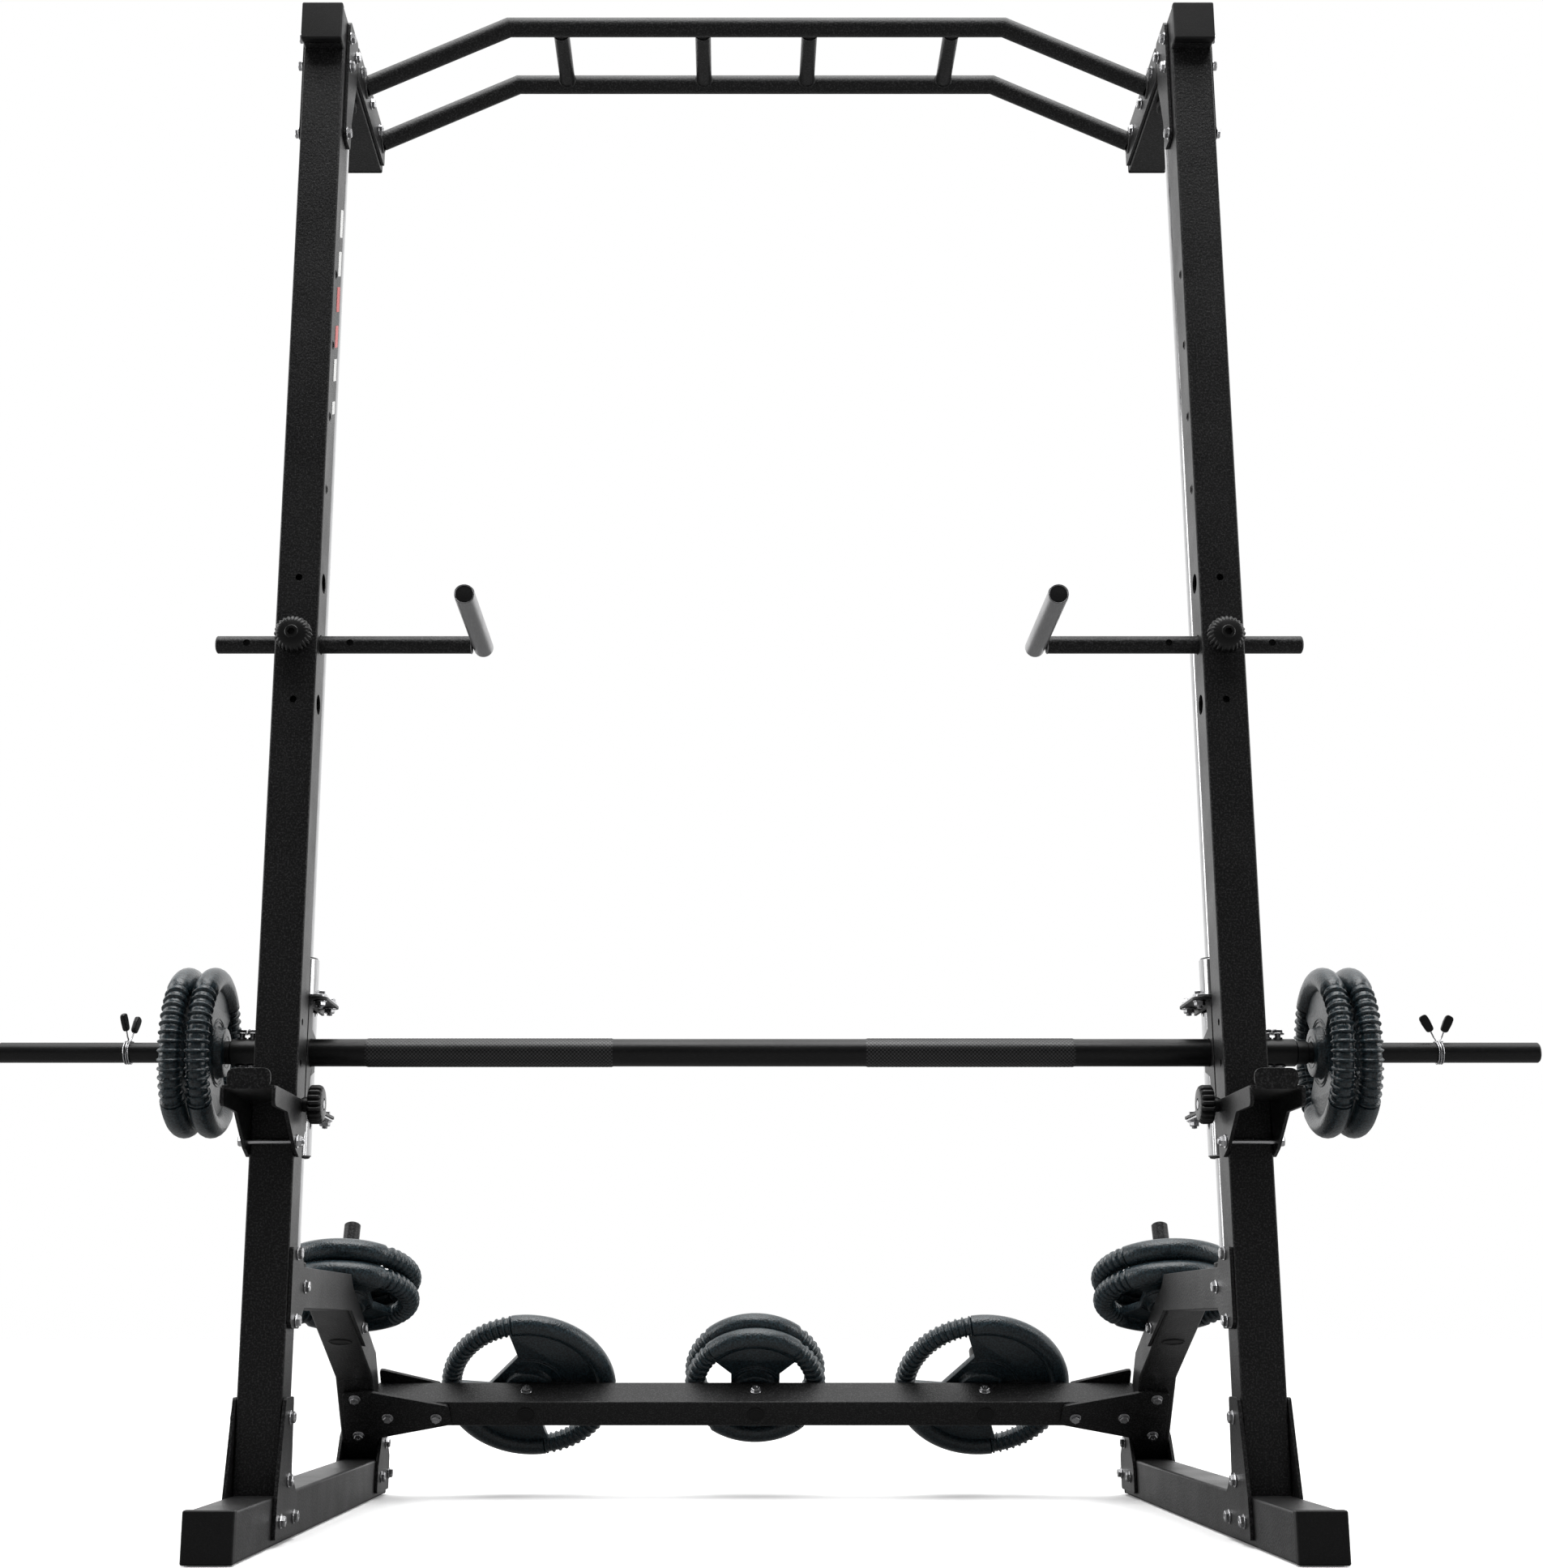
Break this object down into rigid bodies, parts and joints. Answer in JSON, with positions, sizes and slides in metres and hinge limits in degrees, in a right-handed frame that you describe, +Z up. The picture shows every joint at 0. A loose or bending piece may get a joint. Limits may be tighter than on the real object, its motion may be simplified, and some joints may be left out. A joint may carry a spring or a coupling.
{
  "type": "smith machine half rack",
  "caption": "Free-standing black half rack whose barbell slides on vertical guide rods, with bar catches, dip handles, pull-up bars and stored weight plates.",
  "frame": {"origin": "on the floor, in the middle of the whole footprint", "axes": "+X along the bar to the user's right as they face the machine, +Y away from the user, +Z up"},
  "size_m": [2.132, 1.2216, 2.2936],
  "materials": {
    "powder_coat": "fine-textured black powder coat",
    "cap_plastic": "moulded black plastic",
    "knob_plastic": "moulded black plastic, slight sheen",
    "chrome": "bright chrome plate",
    "spring_chrome": "plated spring wire with black finger tabs",
    "satin_chrome": "satin steel",
    "black_bar": "black satin bar with diamond knurling",
    "plate_coating": "dark blue-grey speckled rubber enamel over iron"
  },
  "bodies": {
    "frame": {"foot_left": "powder_coat", "foot_cap_left": "cap_plastic", "upright_left": "powder_coat", "top_tube_left": "powder_coat", "top_cap_left": "cap_plastic", "top_gusset_left": "powder_coat", "leg_left": "powder_coat", "leg_bracket_left": "powder_coat", "foot_gusset_left": "powder_coat", "rear_bracket_left": "powder_coat", "guide_rod_left": "chrome", "cross_gusset_left": "powder_coat", "foot_right": "powder_coat", "foot_cap_right": "cap_plastic", "upright_right": "powder_coat", "top_tube_right": "powder_coat", "top_cap_right": "cap_plastic", "top_gusset_right": "powder_coat", "leg_right": "powder_coat", "leg_bracket_right": "powder_coat", "foot_gusset_right": "powder_coat", "rear_bracket_right": "powder_coat", "guide_rod_right": "chrome", "cross_gusset_right": "powder_coat", "crossmember": "powder_coat", "cross_peg_left": "powder_coat", "cross_peg_centre": "powder_coat", "cross_peg_right": "powder_coat", "pull_up_frame": "powder_coat"},
    "carriage": {"slider_sleeve_left": "chrome", "carriage_bracket_left": "powder_coat", "slider_sleeve_right": "chrome", "carriage_bracket_right": "powder_coat"},
    "bar": {"bar_rod": "black_bar", "bar_grip_tube": "black_bar"},
    "bar_plate_left_inner": {"bar_plate_left_inner": "plate_coating"},
    "bar_plate_left_outer": {"bar_plate_left_outer": "plate_coating"},
    "spring_collar_left": {"spring_collar_left": "spring_chrome"},
    "bar_catch_left": {"bar_catch_left": "powder_coat"},
    "catch_knob_left": {"catch_knob_left": "knob_plastic"},
    "dip_handle_left": {"dip_bar_left": "powder_coat", "dip_grip_left": "satin_chrome"},
    "dip_knob_left": {"dip_knob_left": "knob_plastic"},
    "stored_leg_plate_left_lower": {"stored_leg_plate_left_lower": "plate_coating"},
    "stored_leg_plate_left_upper": {"stored_leg_plate_left_upper": "plate_coating"},
    "stored_cross_plate_left": {"stored_cross_plate_left": "plate_coating"},
    "bar_plate_right_inner": {"bar_plate_right_inner": "plate_coating"},
    "bar_plate_right_outer": {"bar_plate_right_outer": "plate_coating"},
    "spring_collar_right": {"spring_collar_right": "spring_chrome"},
    "bar_catch_right": {"bar_catch_right": "powder_coat"},
    "catch_knob_right": {"catch_knob_right": "knob_plastic"},
    "dip_handle_right": {"dip_bar_right": "powder_coat", "dip_grip_right": "satin_chrome"},
    "dip_knob_right": {"dip_knob_right": "knob_plastic"},
    "stored_leg_plate_right_lower": {"stored_leg_plate_right_lower": "plate_coating"},
    "stored_leg_plate_right_upper": {"stored_leg_plate_right_upper": "plate_coating"},
    "stored_cross_plate_right": {"stored_cross_plate_right": "plate_coating"},
    "stored_cross_plate_centre_front": {"stored_cross_plate_centre_front": "plate_coating"},
    "stored_cross_plate_centre_rear": {"stored_cross_plate_centre_rear": "plate_coating"}
  },
  "joints": [
    {"name": "carriage_lift", "type": "slide", "parent": "frame", "child": "carriage", "axis": [0, 0, 1], "range_m": [-0.14, 0.42]},
    {"name": "bar_spin", "type": "hinge", "parent": "carriage", "child": "bar", "pos_m": [0, -0.2521, 0.64], "axis": [1, 0, 0], "continuous": true},
    {"name": "bar_plate_left_inner_slide", "type": "slide", "parent": "bar", "child": "bar_plate_left_inner", "axis": [-1, 0, 0], "range_m": [0, 0.018]},
    {"name": "bar_plate_left_outer_slide", "type": "slide", "parent": "bar_plate_left_inner", "child": "bar_plate_left_outer", "axis": [-1, 0, 0], "range_m": [0, 0.018]},
    {"name": "spring_collar_left_slide", "type": "slide", "parent": "bar", "child": "spring_collar_left", "axis": [-1, 0, 0], "range_m": [0, 0.2]},
    {"name": "bar_catch_left_height", "type": "slide", "parent": "frame", "child": "bar_catch_left", "axis": [0, 0, 1], "range_m": [0, 0.1112]},
    {"name": "catch_knob_left_pull", "type": "slide", "parent": "bar_catch_left", "child": "catch_knob_left", "axis": [1, 0, 0], "range_m": [0, 0.012], "stiffness_N_per_m": 600, "springref_m": -0.004},
    {"name": "dip_handle_left_reach", "type": "slide", "parent": "frame", "child": "dip_handle_left", "axis": [-1, 0, 0], "range_m": [-0.073, 0.073]},
    {"name": "dip_knob_left_turn", "type": "hinge", "parent": "frame", "child": "dip_knob_left", "pos_m": [-0.651, -0.3621, 1.21], "axis": [0, -1, 0], "range_deg": [0, 720]},
    {"name": "stored_leg_plate_left_lower_lift", "type": "slide", "parent": "frame", "child": "stored_leg_plate_left_lower", "axis": [0, 0.3728, 0.9279], "range_m": [0, 0.145]},
    {"name": "stored_leg_plate_left_upper_lift", "type": "slide", "parent": "stored_leg_plate_left_lower", "child": "stored_leg_plate_left_upper", "axis": [0, 0.3728, 0.9279], "range_m": [0, 0.11]},
    {"name": "stored_cross_plate_left_lift", "type": "slide", "parent": "frame", "child": "stored_cross_plate_left", "axis": [0, 0.7616, 0.648], "range_m": [0, 0.107]},
    {"name": "bar_plate_right_inner_slide", "type": "slide", "parent": "bar", "child": "bar_plate_right_inner", "axis": [1, 0, 0], "range_m": [0, 0.038]},
    {"name": "bar_plate_right_outer_slide", "type": "slide", "parent": "bar_plate_right_inner", "child": "bar_plate_right_outer", "axis": [1, 0, 0], "range_m": [0, 0.038]},
    {"name": "spring_collar_right_slide", "type": "slide", "parent": "bar", "child": "spring_collar_right", "axis": [1, 0, 0], "range_m": [0, 0.16]},
    {"name": "bar_catch_right_height", "type": "slide", "parent": "frame", "child": "bar_catch_right", "axis": [0, 0, 1], "range_m": [0, 0.1112]},
    {"name": "catch_knob_right_pull", "type": "slide", "parent": "bar_catch_right", "child": "catch_knob_right", "axis": [-1, 0, 0], "range_m": [0, 0.012], "stiffness_N_per_m": 600, "springref_m": -0.004},
    {"name": "dip_handle_right_reach", "type": "slide", "parent": "frame", "child": "dip_handle_right", "axis": [1, 0, 0], "range_m": [-0.073, 0.073]},
    {"name": "dip_knob_right_turn", "type": "hinge", "parent": "frame", "child": "dip_knob_right", "pos_m": [0.651, -0.3621, 1.21], "axis": [0, -1, 0], "range_deg": [0, 720]},
    {"name": "stored_leg_plate_right_lower_lift", "type": "slide", "parent": "frame", "child": "stored_leg_plate_right_lower", "axis": [0, 0.3728, 0.9279], "range_m": [0, 0.145]},
    {"name": "stored_leg_plate_right_upper_lift", "type": "slide", "parent": "stored_leg_plate_right_lower", "child": "stored_leg_plate_right_upper", "axis": [0, 0.3728, 0.9279], "range_m": [0, 0.11]},
    {"name": "stored_cross_plate_right_lift", "type": "slide", "parent": "frame", "child": "stored_cross_plate_right", "axis": [0, 0.7616, 0.648], "range_m": [0, 0.107]},
    {"name": "stored_cross_plate_centre_front_lift", "type": "slide", "parent": "frame", "child": "stored_cross_plate_centre_front", "axis": [0, 0.7616, 0.648], "range_m": [0, 0.107]},
    {"name": "stored_cross_plate_centre_rear_lift", "type": "slide", "parent": "stored_cross_plate_centre_front", "child": "stored_cross_plate_centre_rear", "axis": [0, 0.7616, 0.648], "range_m": [0, 0.07]}
  ]
}
